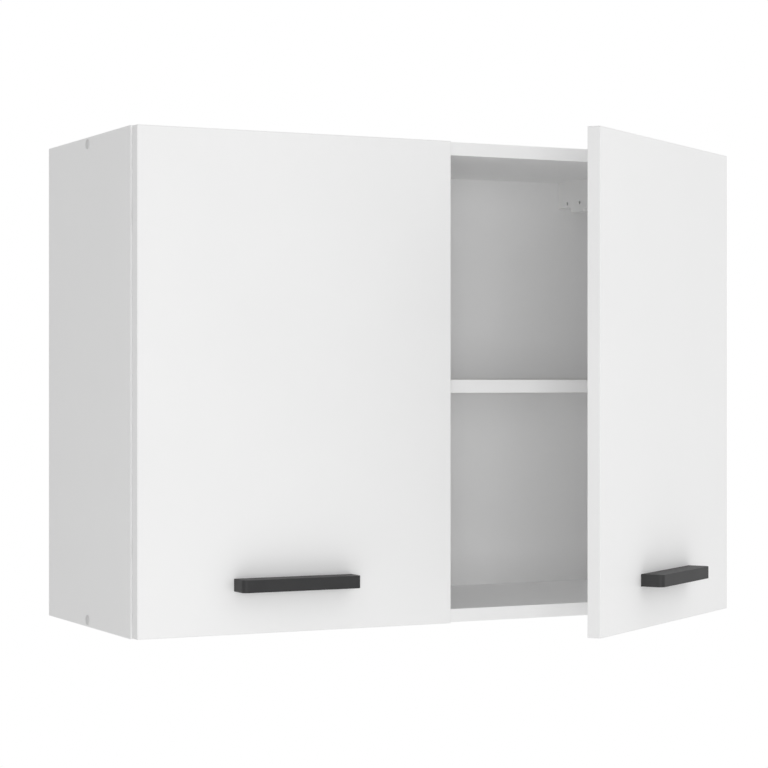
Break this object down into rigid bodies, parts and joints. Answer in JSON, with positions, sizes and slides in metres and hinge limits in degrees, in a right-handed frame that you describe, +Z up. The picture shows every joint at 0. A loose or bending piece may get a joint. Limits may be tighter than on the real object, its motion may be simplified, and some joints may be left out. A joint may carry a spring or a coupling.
{
  "type": "wall cabinet",
  "caption": "White hanging wall cabinet with hinged doors, dark finger-pull handles, a loose shelf, cup hinges and adjustable hangers that hook onto wall plates.",
  "frame": {"origin": "on the wall plane, midway between the wall plates and midway between their upper and lower screw holes", "axes": "+X to the right seen from the front, +Y into the wall, +Z up"},
  "size_m": [0.8022, 0.533, 0.58],
  "materials": {
    "carcass_board": "white melamine-faced particle board, fine matt orange-peel texture, banded edges",
    "back_board": "white foil-faced fibreboard, smooth and matt",
    "door_front": "matt white laminate on board, banded edges",
    "handle_plastic": "matt anthracite, finely grained",
    "cap_plastic": "satin light-grey moulded plastic",
    "white_plastic": "satin white moulded plastic",
    "clear_bumper": "milky soft buffer",
    "beech": "fluted beech dowel",
    "nickel_steel": "nickel-plated pressed steel",
    "spring_steel": "blued spring strip",
    "zinc_steel": "bright zinc-plated steel"
  },
  "bodies": {
    "cabinet": {"back_panel": "back_board", "bottom_panel": "carcass_board", "hanger_bracket_left": "zinc_steel", "hanger_bracket_right": "zinc_steel", "hanger_cover_left": "white_plastic", "hanger_cover_right": "white_plastic", "hanger_depth_screw_left": "zinc_steel", "hanger_depth_screw_right": "zinc_steel", "hanger_fixing_screws_left": "zinc_steel", "hanger_fixing_screws_right": "zinc_steel", "hanger_height_screw_left": "zinc_steel", "hanger_height_screw_right": "zinc_steel", "hanger_hook_left": "zinc_steel", "hanger_hook_right": "zinc_steel", "hinge_arm_bottom_left": "nickel_steel", "hinge_arm_bottom_right": "nickel_steel", "hinge_arm_screws": "zinc_steel", "hinge_arm_top_left": "nickel_steel", "hinge_arm_top_right": "nickel_steel", "hinge_plate_bottom_left": "nickel_steel", "hinge_plate_bottom_right": "nickel_steel", "hinge_plate_screws": "zinc_steel", "hinge_plate_top_left": "nickel_steel", "hinge_plate_top_right": "nickel_steel", "joint_screws": "zinc_steel", "screw_caps": "cap_plastic", "shelf_supports": "zinc_steel", "side_panel_left": "carcass_board", "side_panel_right": "carcass_board", "top_panel": "carcass_board", "wall_plate_left": "zinc_steel", "wall_plate_right": "zinc_steel", "wooden_dowels": "beech"},
    "door_left": {"cup_screws_left": "zinc_steel", "door_bumpers_left": "clear_bumper", "door_left": "door_front", "handle_left": "handle_plastic", "handle_screws_left": "zinc_steel", "hinge_cup_bottom_left": "nickel_steel", "hinge_cup_top_left": "nickel_steel", "hinge_pin_bottom_left": "zinc_steel", "hinge_pin_top_left": "zinc_steel", "hinge_spring_bottom_left": "spring_steel", "hinge_spring_top_left": "spring_steel"},
    "door_right": {"cup_screws_right": "zinc_steel", "door_bumpers_right": "clear_bumper", "door_right": "door_front", "handle_right": "handle_plastic", "handle_screws_right": "zinc_steel", "hinge_cup_bottom_right": "nickel_steel", "hinge_cup_top_right": "nickel_steel", "hinge_pin_bottom_right": "zinc_steel", "hinge_pin_top_right": "zinc_steel", "hinge_spring_bottom_right": "spring_steel", "hinge_spring_top_right": "spring_steel"},
    "shelf": {"shelf": "carcass_board"}
  },
  "joints": [
    {"name": "left_door_hinge", "type": "hinge", "parent": "cabinet", "child": "door_left", "pos_m": [-0.3922, -0.3075, 0], "axis": [0, 0, -1], "range_deg": [0, 95]},
    {"name": "right_door_hinge", "type": "hinge", "parent": "cabinet", "child": "door_right", "pos_m": [0.3922, -0.3075, 0], "axis": [0, 0, 1], "range_deg": [-34.3, 60.7]},
    {"name": "shelf_lift", "type": "slide", "parent": "cabinet", "child": "shelf", "axis": [0, 0, 1], "range_m": [0, 0.05]}
  ]
}
